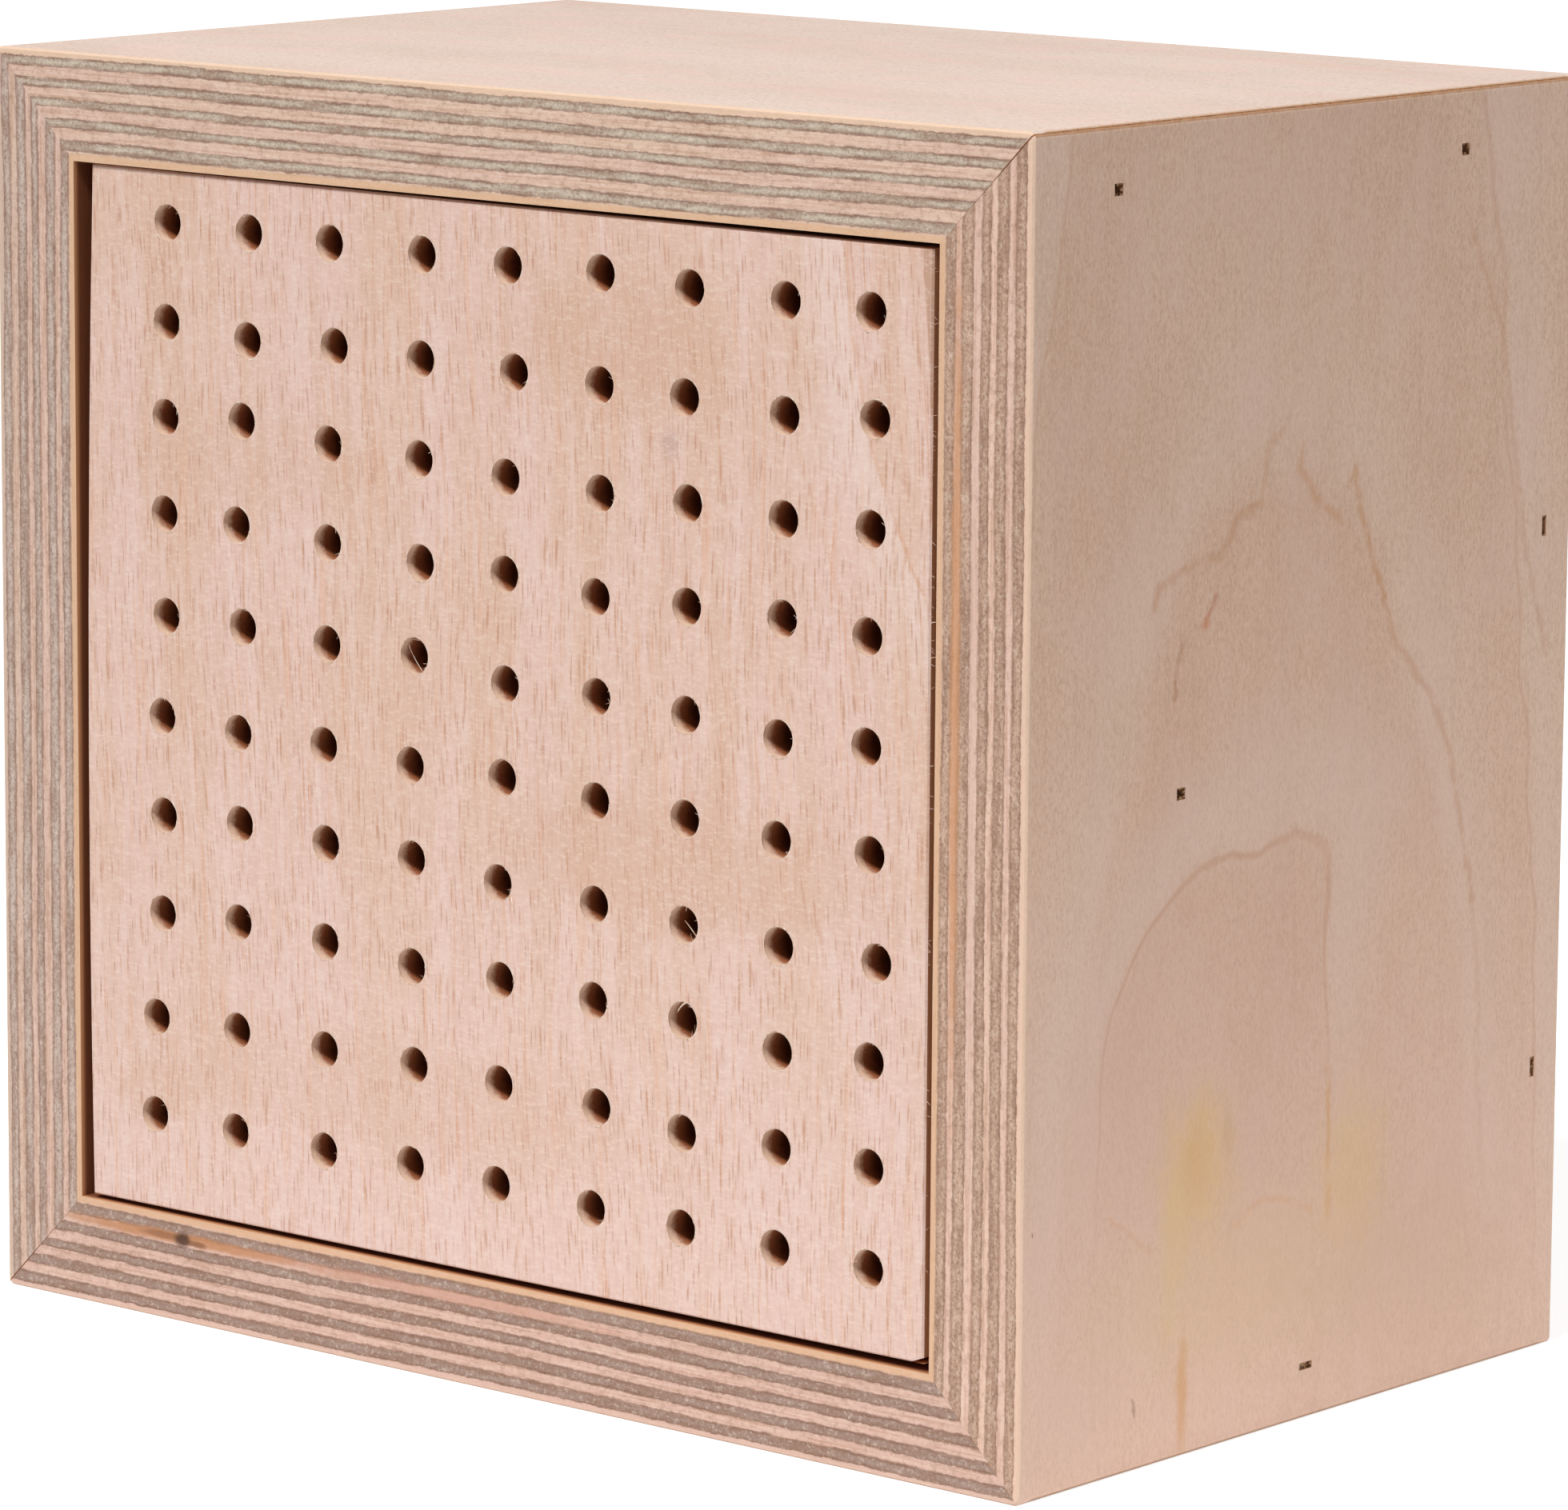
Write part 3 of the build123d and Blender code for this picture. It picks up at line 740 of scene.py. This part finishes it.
def beech_block():
    material, tree, shader = new_material("beech block")
    place, (x, y, z) = place_on_object(tree)
    # the grain leans a little to the right as it falls, more in some places than in others
    slow = minus(tree, streaky(tree, place, (0.02, 0.0, 0.012), 2.0, 0.5), 0.5)
    leaning = plus(tree, plus(tree, x, times(tree, z, 0.03)), times(tree, slow, 7.0))
    grained = point(tree, leaning, y, z)
    wood = use_group(tree, grain, Place=grained, Fineness=1.0)
    bands = streaky(tree, grained, (0.085, 0.03, 0.016), 3.0, 0.6)
    narrow_bands = streaky(tree, grained, (0.42, 0.1, 0.040), 3.0, 0.6)
    color = lay_over(tree, fade(tree, bands, 0.36, 0.64), paint(228, 195, 182), paint(223, 188, 168))
    color = wash(tree, color, fade(tree, narrow_bands, 0.44, 0.66), 0.45, paint(235, 208, 198))
    color = wash(tree, color, fade(tree, narrow_bands, 0.46, 0.28), 0.36, paint(216, 178, 156))
    # it is pinker and paler towards its foot
    color = lay_over(tree, fade(tree, z, 95.0, 12.0, 0.0, 0.50), color, paint(232, 206, 198))
    # the pale tongue: bounded on the right by a line that curves outwards as it falls
    spot = point(tree, x, 0.0, z)
    below = minus(tree, 160.0, z)
    curve = times(tree, times(tree, below, below), 0.0067)
    sway = times(tree, minus(tree, streaky(tree, place, (0.0, 0.0, 0.10), 3.0, 0.5), 0.5), 2.5)
    past = minus(tree, plus(tree, x, sway), plus(tree, curve, 61.2))
    tongue = times(tree, fade(tree, past, -12.0, -0.5), fade(tree, past, 0.2, -0.2))
    color = wash(tree, color, tongue, 0.55, paint(236, 213, 202))
    broken = fade(tree, streaky(tree, place, (0.3, 0.0, 0.12), 3.0, 0.6), 0.36, 0.60, 0.2, 1.0)
    rim = times(tree, fade(tree, sums(tree, "ABSOLUTE", minus(tree, past, 0.30)), 0.65, 0.05), broken)
    color = wash(tree, color, rim, 0.50, paint(216, 164, 130))
    thread = stroke(tree, jitter(tree, spot, 1.6), ((53.8, 131.9), (58.9, 119.3), (61.4, 111.9), (64.0, 100.0)), 0.8)
    color = wash(tree, color, times(tree, thread, broken), 0.40, paint(218, 168, 136))
    # painted shade: a darker wedge on the block by its right edge, widest at the top, where a facet turns from the
    # light
    painted_facet_shade = fade(tree, minus(tree, minus(tree, 75.6, x), times(tree, minus(tree, z, 139.0), 0.080)), 0.15, -0.15)
    color = wash(tree, color, times(tree, painted_facet_shade, fade(tree, z, 138.0, 140.0)), 0.8, paint(190, 150, 125))
    # fibres and flecks
    color = wash(tree, color, fade(tree, wood["Fibres"], 0.50, 0.72), 0.30, paint(204, 162, 138))
    for across, along, size, seed, tint, amount in (
        (1.05, 0.120, 0.26, 0.0, paint(194, 144, 122), 0.80),
        (1.30, 0.130, 0.27, 40.3, paint(196, 146, 122), 0.80),
        (0.55, 0.050, 0.19, 80.7, paint(198, 148, 118), 0.85),
    ):
        dash = flecks(tree, grained, across, along, size, seed)
        color = wash(tree, color, dash, amount, tint)
    peach = streaky(tree, grained, (0.75, 0.2, 0.030), 3.0, 0.6)
    color = wash(tree, color, fade(tree, peach, 0.58, 0.70), 0.42, paint(228, 180, 150))
    thin = streaky(tree, grained, (2.4, 0.4, 0.05), 2.0, 0.5)
    color = wash(tree, color, fade(tree, thin, 0.62, 0.72), 0.50, paint(214, 156, 122))
    # where the planer pressed
    stain_edge = speckle(tree, spot, 0.25, 3.0, 0.6)
    for where, size, amount in (
        ((22, 0, 144), (17, 1, 9), 0.42),
        ((-45, 0, 123), (26, 1, 7), 0.22),
        ((34, 0, 76), (32, 1, 8), 0.36),
        ((-20, 0, 38), (48, 1, 8), 0.26),
        ((-62, 0, 32), (9, 1, 4), 0.30),
    ):
        cloud = blotch(tree, spot, stain_edge, where, size, 0.45, 0.7)
        color = wash(tree, color, cloud, amount, paint(210, 168, 142))
    smudge = blotch(tree, spot, stain_edge, (31.7, 0, 131.4), (1.5, 1, 1.8), 0.7, 0.5)
    color = wash(tree, color, smudge, 0.35, paint(160, 132, 124))
    # level scratches from the planer, and the fine weave that its knives leave
    scratch = streaky(tree, place, (0.05, 0.2, 2.4), 2.0, 0.5)
    scratchy = fade(tree, streaky(tree, place, (0.03, 0.1, 0.05), 2.0, 0.5), 0.46, 0.62)
    scratch = times(tree, fade(tree, scratch, 0.62, 0.72), scratchy)
    color = wash(tree, color, scratch, 0.18, paint(242, 222, 210))
    weave = streaky(tree, place, (0.9, 0.4, 2.0), 3.0, 0.75)
    color = wash(tree, color, fade(tree, weave, 0.48, 0.68), 0.32, paint(246, 228, 216))
    color = wash(tree, color, fade(tree, weave, 0.46, 0.28), 0.26, paint(204, 164, 142))
    # inside the nests the walls are pale for the first millimetre, where the fibres are torn, and darker deeper in:
    # partly the burnish the drill left, and partly painted shade, which grows over the first five millimetres
    inside = fade(tree, facing(tree, 1), 0.6, 0.4)
    torn = times(tree, minus(tree, speckle(tree, place, 1.3, 3.0, 0.7), 0.5), 1.6)
    sunk = plus(tree, plus(tree, y, half_deep - 0.5), torn)
    wall = lay_over(tree, fade(tree, sunk, 0.6, 2.2), paint(236, 202, 178), paint(158, 96, 62))
    wall = lay_over(tree, fade(tree, sunk, 2.0, 5.0), wall, paint(98, 50, 24))
    outer_side = fade(tree, sums(tree, "ABSOLUTE", x), NESTS_END, NESTS_END + 1.0)
    wall = lay_over(tree, outer_side, wall, paint(222, 156, 112))
    color = lay_over(tree, inside, color, wall)
    plug(tree, color, shader.inputs["Base Color"])
    height = plus(tree, wood["Fibres"], times(tree, weave, 0.4))
    set_bump(tree, shader, height, 0.07)
    shader.inputs["Roughness"].default_value = 0.70
    shader.inputs["Specular IOR Level"].default_value = 0.25
    return material


beech = beech_block()
print("beech:", len(beech.node_tree.nodes), "nodes")

# %% [markdown]
# **Torn wood.** Where fibres are lifted or broken off, they are drier than the planed face: paler on the beech,
# browner on the veneer, where glue has soaked in.

# %% Torn wood
def torn_wood(name, pale, dark):
    material, tree, shader = new_material(name)
    place, _ = place_on_object(tree)
    tuft = speckle(tree, place, 2.0, 3.0, 0.7)
    plug(tree, lay_over(tree, fade(tree, tuft, 0.40, 0.64), pale, dark), shader.inputs["Base Color"])
    shader.inputs["Roughness"].default_value = 0.80
    shader.inputs["Specular IOR Level"].default_value = 0.20
    return material


fluff = torn_wood("beech torn", paint(240, 222, 208), paint(206, 166, 136))
tan_fluff = torn_wood("veneer torn", paint(206, 166, 126), paint(150, 104, 70))
glue_brown = torn_wood("glue", paint(196, 138, 92), paint(150, 96, 60))
print("torn wood:", len(fluff.node_tree.nodes), "nodes")

# %% [markdown]
# **Brads.** Blued steel, dull from the driver, with a trace of brown where damp wood has touched it. The wood has
# closed over the flat ones, so these show mostly dust.

# %% Steel for the brads
def brad_steel(name, dust):
    material, tree, shader = new_material(name)
    place, _ = place_on_object(tree)
    rust = fade(tree, speckle(tree, place, 1.4, 3.0, 0.6), 0.50, 0.66)
    dusty = times(tree, fade(tree, speckle(tree, place, 2.3, 3.0, 0.6), 0.62, 0.40), dust)
    bare = lay_over(tree, rust, paint(98, 80, 66), paint(96, 60, 40))
    plug(tree, lay_over(tree, dusty, bare, paint(196, 152, 110)), shader.inputs["Base Color"])
    plug(tree, times(tree, fade(tree, rust, 0.0, 1.0, 0.45, 0.05), minus(tree, 1.0, dusty)), shader.inputs["Metallic"])
    plug(tree, fade(tree, rust, 0.0, 1.0, 0.42, 0.85), shader.inputs["Roughness"])
    set_bump(tree, shader, speckle(tree, place, 4.0, 2.0, 0.5), 0.03)
    return material


steel = brad_steel("brad steel", 0.2)
closed_over = brad_steel("brad steel dusty", 0.9)
print("steel:", len(steel.node_tree.nodes), "nodes")

# %% [markdown]
# The solids keep their shapes. Each only gets its finish.

# %% Dress the solids
finishes = {
    "top_panel": top_ply,
    "bottom_panel": bottom_ply,
    "left_panel": left_ply,
    "right_panel": right_ply,
    "back_panel": back_ply,
    "nest_block": beech,
    "upper_corner_brads": steel,
    "lower_corner_brads": closed_over,
    "block_brads": steel,
    "back_brads": closed_over,
}
for node_name, finish in finishes.items():
    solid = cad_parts[node_name]
    solid.data.materials.clear()
    solid.data.materials.append(finish)
print("dressed", len(finishes), "solids")

# %% [markdown]
# **Where the nests are.** The torn fibres below stand round the mouths of the nests, so their places are read
# from the block itself. Each nest ends in a flat floor at one depth. Points of the mesh at that depth that lie
# within a drill's width of each other belong to one nest, and the middle of their box is its axis.

# %% Find the nests
FACE = -half_deep + 0.5         # the block's front
NEST_RADIUS = 2.5
NEST_DEPTH = 90
NESTS_IN_A_ROW = 9
DRILL_WIDTH = 5.5               # a little more than a nest, and far less than two nests' distance


def nest_axes(block, depth):
    """The axes of the nests, as x and z in millimetres, from the corners of their floors."""
    nests = []
    for corner in block.data.vertices:
        x, y, z = corner.co / MM
        if abs(y - depth) > 0.1:
            continue
        for nest in nests:
            if math.hypot(x - nest[0][0], z - nest[0][1]) < DRILL_WIDTH:
                nest.append((x, z))
                break
        else:
            nests.append([(x, z)])
    middles = []
    for nest in nests:
        across, up = zip(*nest)
        middles.append(((min(across) + max(across)) / 2, (min(up) + max(up)) / 2))
    # from the top row down: the rows fall a little towards the right
    return sorted(middles, key=lambda middle: -(middle[1] + 0.03 * middle[0]))


nests = nest_axes(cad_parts["nest_block"], FACE + NEST_DEPTH)
rows = [sorted(nests[start:start + NESTS_IN_A_ROW]) for start in range(0, len(nests), NESTS_IN_A_ROW)]
print(len(nests), "nests in", len(rows), "rows")

# %% [markdown]
# **Rims.** A brad-point drill lifts the fibres round its hole, so each mouth has a low, uneven burr that catches
# the light. It is a ring of three loops: one just inside the wood, a crest, and one where the burr runs out.
# Noise moves the crest, most at the two sides, where the drill cuts across the upright fibres.

# %% Rims round the nests
def add_rim(shape, x, z, seed):
    """A closed burr round one nest."""
    loops = []
    for radius, sunk in ((NEST_RADIUS, 0.15), (NEST_RADIUS + 0.07, 0.0), (NEST_RADIUS + 0.30, 0.15)):
        ring = bmesh.ops.create_circle(shape, cap_ends=False, segments=36, radius=radius)["verts"]
        for corner in ring:
            angle = math.atan2(corner.co.y, corner.co.x)
            uneven = noise.noise(Vector((2.2 * math.cos(angle), 2.2 * math.sin(angle), seed)))
            fine = noise.noise(Vector((9 * math.cos(angle), 9 * math.sin(angle), seed + 40)))
            if radius == NEST_RADIUS:
                reach, lift = radius + 0.05 * fine, sunk
            elif sunk:
                reach, lift = radius + 0.16 * uneven + 0.10 * fine, sunk
            else:
                reach, lift = radius + 0.05 * fine, -max(0.015, 0.05 + 0.16 * uneven + 0.07 * fine)
            corner.co = Vector((x + reach * math.cos(angle), FACE + lift, z + reach * math.sin(angle))) * MM
        loops.append([edge for edge in shape.edges if edge.verts[0] in set(ring) and edge.verts[1] in set(ring)])
    for first, second in ((0, 1), (1, 2), (2, 0)):
        bmesh.ops.bridge_loops(shape, edges=loops[first] + loops[second])


def finish_piece(shape, name, material, smooth=True):
    """Turns a bmesh into an object with its finish, riding with the box. Its points are pulled in to the box's width.
    Nothing may stand proud of the box.
    """
    widest = (half_wide - 0.01) * MM
    for corner in shape.verts:
        corner.co.x = max(-widest, min(widest, corner.co.x))
    bmesh.ops.recalc_face_normals(shape, faces=shape.faces)
    mesh = bpy.data.meshes.new(name)
    shape.to_mesh(mesh)
    shape.free()
    for face in mesh.polygons:
        face.use_smooth = smooth
    mesh.materials.append(material)
    piece = bpy.data.objects.new(name, mesh)
    bpy.context.scene.collection.objects.link(piece)
    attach(piece, "root")
    print(name + ":", len(mesh.polygons), "faces")


rims = bmesh.new()
for number, (x, z) in enumerate(nests):
    one = bmesh.new()
    add_rim(one, x, z, 3.7 * number)
    part = bpy.data.meshes.new("rim part")
    one.to_mesh(part)
    one.free()
    rims.from_mesh(part)
    bpy.data.meshes.remove(part)
finish_piece(rims, "nest_rims", fluff)

# %% [markdown]
# **Torn fibres.** Here and there a sliver still hangs on: curled in a mouth, lying across it, or bridging the gap
# between the block and the right-hand board. One sliver is a small square pushed along a bent path and made
# thinner at each step. Most are placed at random round the mouths, and a few where the drill tore worst.

# %% Slivers
slivers = bmesh.new()
chance = random.Random(7)


def add_sliver(start, heading, length, thick, curl, steps=4):
    """A bent, tapering fibre. start is in millimetres, heading and curl are directions."""
    heading = Vector(heading).normalized()
    stub = bmesh.ops.create_circle(slivers, cap_ends=True, segments=4, radius=thick * MM)
    facing_way = heading.to_track_quat("Z", "Y").to_matrix().to_4x4()
    bmesh.ops.transform(slivers, matrix=Matrix.Translation(Vector(start) * MM) @ facing_way, verts=stub["verts"])
    tip = [face for face in slivers.faces if all(corner in stub["verts"] for corner in face.verts)][-1:]
    for step in range(steps):
        grown = bmesh.ops.extrude_face_region(slivers, geom=tip)
        corners = [part for part in grown["geom"] if isinstance(part, bmesh.types.BMVert)]
        tip = [part for part in grown["geom"] if isinstance(part, bmesh.types.BMFace)]
        heading = (heading + Vector(curl) * (0.8 / steps)).normalized()
        bmesh.ops.translate(slivers, vec=heading * (length / steps) * MM, verts=corners)
        middle = sum((corner.co for corner in corners), Vector()) / len(corners)
        keep = 0.45 if step == steps - 1 else 0.86
        bmesh.ops.scale(slivers, vec=(keep, keep, keep), space=Matrix.Translation(-middle), verts=corners)
        for corner in corners:
            corner.co.y = max(corner.co.y, (0.05 - half_deep) * MM)


def fringe(x, z, count, longest):
    """Fibres round one mouth, pointing out of it and over it."""
    for _ in range(count):
        angle = chance.uniform(0, 2 * math.pi)
        out = Vector((math.cos(angle), 0, math.sin(angle)))
        start = Vector((x, FACE + 0.05, z)) + out * (NEST_RADIUS + 0.02)
        aside = Vector((-out.z, 0, out.x)) * chance.uniform(-1, 1)
        heading = aside - 0.5 * out * chance.uniform(-0.4, 1) + Vector((0, -chance.uniform(0.1, 0.5), 0))
        add_sliver(
            start, heading, chance.uniform(0.3, longest), chance.uniform(0.025, 0.05), (0, chance.uniform(0, 0.8), 0)
        )


for x, z in nests:
    fringe(x, z, chance.choice((2, 3, 4, 5)), 0.8)
for row, column, count, longest in (
    (4, 3, 6, 1.6),
    (6, 4, 5, 1.2),
    (6, 6, 5, 1.8),
    (7, 6, 5, 1.4),
    (3, 7, 5, 1.3),
    (9, 5, 5, 1.4),
    (2, 8, 4, 1.3),
    (3, 3, 4, 1.3),
):
    fringe(*rows[row][column], count, longest)

# four long ones, each where the drill left it
x, z = rows[4][3]
add_sliver((x + 1.6, FACE, z - 2.0), (-0.7, -0.15, 0.8), 4.2, 0.09, (0.3, 0.2, 0.0), 6)
x, z = rows[6][6]
add_sliver((x + 2.2, FACE, z - 1.2), (-0.6, -0.3, 1.0), 2.6, 0.10, (-0.6, 0.3, 0.0), 5)
x, z = rows[7][6]
add_sliver((x + 0.6, FACE, z + 2.5), (-1.0, -0.3, -0.5), 2.0, 0.16, (0.2, 0.2, -0.9), 5)
x, z = rows[6][4]
add_sliver((x + 2.4, FACE, z - 1.4), (0.5, -0.2, -1.0), 2.4, 0.15, (-0.4, 0.2, 0.2), 5)

# fuzz on the block's sawn edges, and two fibres right across the gap
block_low, block_high = (Vector(corner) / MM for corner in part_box("nest_block"))
for _ in range(46):
    z = chance.uniform(block_low.z + 3, block_high.z - 3)
    add_sliver(
        (block_high.x - 0.1, FACE + 0.35, z),
        (1.0, -0.1, chance.uniform(-1.5, 1.5)),
        chance.uniform(0.3, 0.9),
        0.035,
        (0, 0.3, 0),
    )
for z in (112.5, 108.0):
    add_sliver((block_high.x - 0.2, FACE + 0.3, z), (1.0, -0.05, 0.35), 2.3, 0.06, (0, 0.0, -0.4), 5)
finish_piece(slivers, "torn_fibres", fluff)

# %% [markdown]
# **Frayed pockets.** Where a brad went in, the veneer's fibres broke round its head and lean into the pocket, so
# the oblong mouth looks small and round. Each head's box is read from the brads themselves.

# %% Fibres round the brads
def head_boxes(brads, sink):
    """The boxes of the heads, as side, low and high y, and low and high z, in millimetres. sink is how deep they
    lie, and corners at that depth within a head's reach of each other belong to one."""
    reach = 4
    heads = []
    for corner in brads.data.vertices:
        x, y, z = corner.co / MM
        if abs(abs(x) - (half_wide - sink)) > 0.05:
            continue
        for head in heads:
            if head[0][0] * x > 0 and abs(y - head[0][1]) < reach and abs(z - head[0][2]) < reach:
                head.append((x, y, z))
                break
        else:
            heads.append([(x, y, z)])
    boxes = []
    for head in heads:
        _, deep, high = zip(*head)
        boxes.append((math.copysign(1, head[0][0]), min(deep), max(deep), min(high), max(high)))
    return boxes


slivers = bmesh.new()
for node_name, sink, count in (
    ("upper_corner_brads", 1.2, 26), ("block_brads", 1.2, 26), ("lower_corner_brads", 0.6, 24), ("back_brads", 0.6, 24)
):
    for side, low_y, high_y, low_z, high_z in head_boxes(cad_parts[node_name], sink):
        centre = Vector((0, (low_y + high_y) / 2, (low_z + high_z) / 2))
        for _ in range(count):
            # a spot on the mouth's rim, near a corner more often than not
            y, z = chance.choice((low_y, high_y)), chance.choice((low_z, high_z))
            if chance.random() < 0.5:
                y += (centre.y - y) * chance.random() ** 2 * 2
            else:
                z += (centre.z - z) * chance.random() ** 2 * 2
            start = Vector((side * (half_wide - 0.12), y, z))
            inward = centre - Vector((0, y, z))
            heading = inward.normalized() + Vector(
                (-side * chance.uniform(0.1, 0.5), chance.uniform(-0.3, 0.3), chance.uniform(-0.3, 0.3))
            )
            add_sliver(
                start - 0.05 * inward.normalized(),
                heading,
                chance.uniform(0.20, 0.62),
                chance.uniform(0.08, 0.16),
                (0, 0, 0),
                2,
            )
finish_piece(slivers, "frayed_veneer", tan_fluff)

# %% [markdown]
# **Glue in the open mitres.** Two of the four mitres gape by a hair at their outer ends, and glue stands in them,
# which gives the brown thread along the top of the side. It is a slender wedge pulled from front to back.

# %% Glue
GLUE_CORNERS = ((91.80, 87.53), (91.68, 87.66), (78.0, 73.99))
GLUE_STEPS = 24
FROM_EDGE = 0.15        # how far the glue's ends lie behind the sawn edges

glue_line = bmesh.new()
for turned in (1, -1):
    # across the wedge: its two outer corners and its thin inner end, as x and z from the middle of the box
    corners = [
        glue_line.verts.new((turned * x * MM, (FROM_EDGE - half_deep) * MM, (half_high + turned * z) * MM))
        for x, z in GLUE_CORNERS
    ]
    ring = [glue_line.faces.new(corners)]
    for step in range(GLUE_STEPS):
        grown = bmesh.ops.extrude_face_region(glue_line, geom=ring)
        ring = [part for part in grown["geom"] if isinstance(part, bmesh.types.BMFace)]
        moved = [part for part in grown["geom"] if isinstance(part, bmesh.types.BMVert)]
        bmesh.ops.translate(glue_line, vec=(0, 2 * (half_deep - FROM_EDGE) / GLUE_STEPS * MM, 0), verts=moved)
finish_piece(glue_line, "mitre_glue", glue_brown, smooth=False)

# %% [markdown]
# ** Floor and light.** A white sweep under a small high lamp in front, which casts the soft shade in the nests, and
# a wide weak one on the right. The floor throws light back on the lower half of the side, which makes it paler
# there, and the side's finish has more of that pale light painted in. White behind the box is the world's own
# colour for rays that come straight from the camera or off a shiny surface. Other rays see a much dimmer world.

# %% Floor, world and lamps
def background_rays(tree):
    """1 for rays that come from the camera, off a shiny surface or through glass, and 0 for all others."""
    rays = add_node(tree, "LightPath").outputs
    shiny = sums(tree, "MAXIMUM", rays["Is Glossy Ray"], rays["Is Transmission Ray"])
    return sums(tree, "MAXIMUM", rays["Is Camera Ray"], shiny)


def floor_finish():
    """White near the box, on which it throws light, and greyer far off. The camera sees it glow as well."""
    material, tree, shader = new_material("white sweep")
    shader.inputs["Roughness"].default_value = 0.9
    shader.inputs["Specular IOR Level"].default_value = 0.0
    shader.inputs["Emission Color"].default_value = (1, 1, 1, 1)
    place, _ = place_on_object(tree)
    far_off = add_node(tree, "VectorMath", place, operation="LENGTH").outputs["Value"]
    glow = fade(tree, far_off, 220.0, 700.0, 0.70, 1.0)
    bare = lay_over(tree, fade(tree, far_off, 220.0, 600.0), (0.95, 0.95, 0.95, 1), (0.30, 0.30, 0.30, 1))
    plug(tree, bare, shader.inputs["Base Color"])
    plug(tree, times(tree, background_rays(tree), glow), shader.inputs["Emission Strength"])
    return material


shape = bmesh.new()
bmesh.ops.create_grid(shape, x_segments=1, y_segments=1, size=3.0)
floor_mesh = bpy.data.meshes.new("floor")
shape.to_mesh(floor_mesh)
shape.free()
floor = bpy.data.objects.new("floor", floor_mesh)
bpy.context.scene.collection.objects.link(floor)
floor_mesh.materials.append(floor_finish())

world = bpy.data.worlds.new("studio")
bpy.context.scene.world = world
world.use_nodes = True
tree = world.node_tree
tree.nodes.clear()
sky = tree.nodes.new("ShaderNodeBackground")
sky.inputs["Color"].default_value = (1, 1, 1, 1)
plug(tree, fade(tree, background_rays(tree), 0.0, 1.0, 0.20, 1.0), sky.inputs["Strength"])
tree.links.new(sky.outputs[0], tree.nodes.new("ShaderNodeOutputWorld").inputs[0])


def lamp(name, where, towards, size, power):
    """A square soft lamp. Its power is in watts."""
    light = bpy.data.lights.new(name, "AREA")
    light.shape = "SQUARE"
    light.size = size
    light.energy = power
    made = bpy.data.objects.new(name, light)
    made.location = where
    made.rotation_euler = (Vector(towards) - Vector(where)).to_track_quat("-Z", "Y").to_euler()
    bpy.context.scene.collection.objects.link(made)


middle = (0, 0, half_high * MM)
lamp("key", (0.17, -1.13, 1.79), middle, 0.34, 37)
lamp("fill", (1.60, 0.80, 0.80), middle, 0.90, 7)
